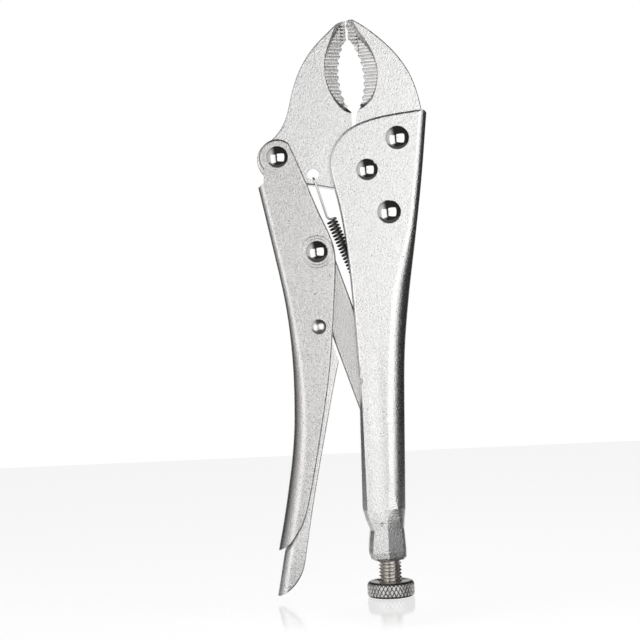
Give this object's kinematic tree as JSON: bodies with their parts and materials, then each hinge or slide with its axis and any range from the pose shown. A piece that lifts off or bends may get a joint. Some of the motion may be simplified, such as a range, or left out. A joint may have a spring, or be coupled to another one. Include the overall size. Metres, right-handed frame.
{
  "type": "locking pliers",
  "caption": "Curved-jaw locking pliers with a toothed oval mouth, riveted sheet handles, toggle link, release lever, coil spring and knurled adjusting screw.",
  "frame": {"origin": "middle of the jaw mouth at half the jaw thickness", "axes": "+Z along the adjusting screw from the knob towards the jaws, +X from the lever handle towards the fixed handle, +Y from the pictured face to the far face, along the pivots"},
  "size_m": [0.0732, 0.021, 0.2478],
  "materials": {
    "plated_sheet": "satin nickel plate with a fine grain",
    "plated_jaw": "satin nickel plate with a fine grain",
    "polished_rivet": "polished",
    "screw_steel": "plain steel",
    "knob_steel": "knurled plated steel",
    "spring_steel": "drawn wire"
  },
  "bodies": {
    "handle_body": {"fixed_handle": "plated_sheet", "fixed_jaw": "plated_jaw", "fixed_jaw_upper_rivet": "polished_rivet", "fixed_jaw_lower_rivet": "polished_rivet", "jaw_pivot_rivet": "polished_rivet", "spring_anchor_pin": "screw_steel", "spring": "spring_steel"},
    "jaw": {"movable_jaw": "plated_jaw"},
    "lever": {"lever_handle": "plated_sheet", "lever_pivot_rivet": "polished_rivet", "toggle_rivet": "polished_rivet", "release_rivet": "polished_rivet"},
    "link": {"toggle_link": "plated_sheet"},
    "release": {"release_lever": "plated_sheet"},
    "point": {"screw_point": "screw_steel"},
    "screw": {"adjusting_screw": "screw_steel", "screw_knob": "knob_steel"}
  },
  "joints": [
    {"name": "jaw_pivot", "type": "hinge", "parent": "handle_body", "child": "jaw", "pos_m": [0.005, 0, -0.042], "axis": [0, -1, 0], "range_deg": [0, 18], "deforming": ["spring"]},
    {"name": "lever_pivot", "type": "hinge", "parent": "jaw", "child": "lever", "pos_m": [-0.033, 0, -0.035], "axis": [0, 1, 0], "range_deg": [0, 52]},
    {"name": "link_pivot", "type": "hinge", "parent": "lever", "child": "link", "pos_m": [-0.0178, 0, -0.076], "axis": [0, -1, 0], "range_deg": [0, 54.5]},
    {"name": "release_pivot", "type": "hinge", "parent": "lever", "child": "release", "pos_m": [-0.0184, 0, -0.108], "axis": [0, -1, 0], "range_deg": [0, 3]},
    {"name": "screw_travel", "type": "slide", "parent": "handle_body", "child": "point", "axis": [0, 0, -1], "range_m": [0, 0.012]},
    {"name": "screw_turn", "type": "hinge", "parent": "point", "child": "screw", "pos_m": [0.0077, 0, -0.2], "axis": [0, 0, -1], "range_deg": [0, 2885]}
  ],
  "couplings": [
    {"joint": "lever_pivot", "follows": "jaw_pivot", "ratio": 2.88},
    {"joint": "link_pivot", "follows": "jaw_pivot", "ratio": 3},
    {"joint": "screw_turn", "follows": "screw_travel", "rad_per_m": 4188.8}
  ]
}
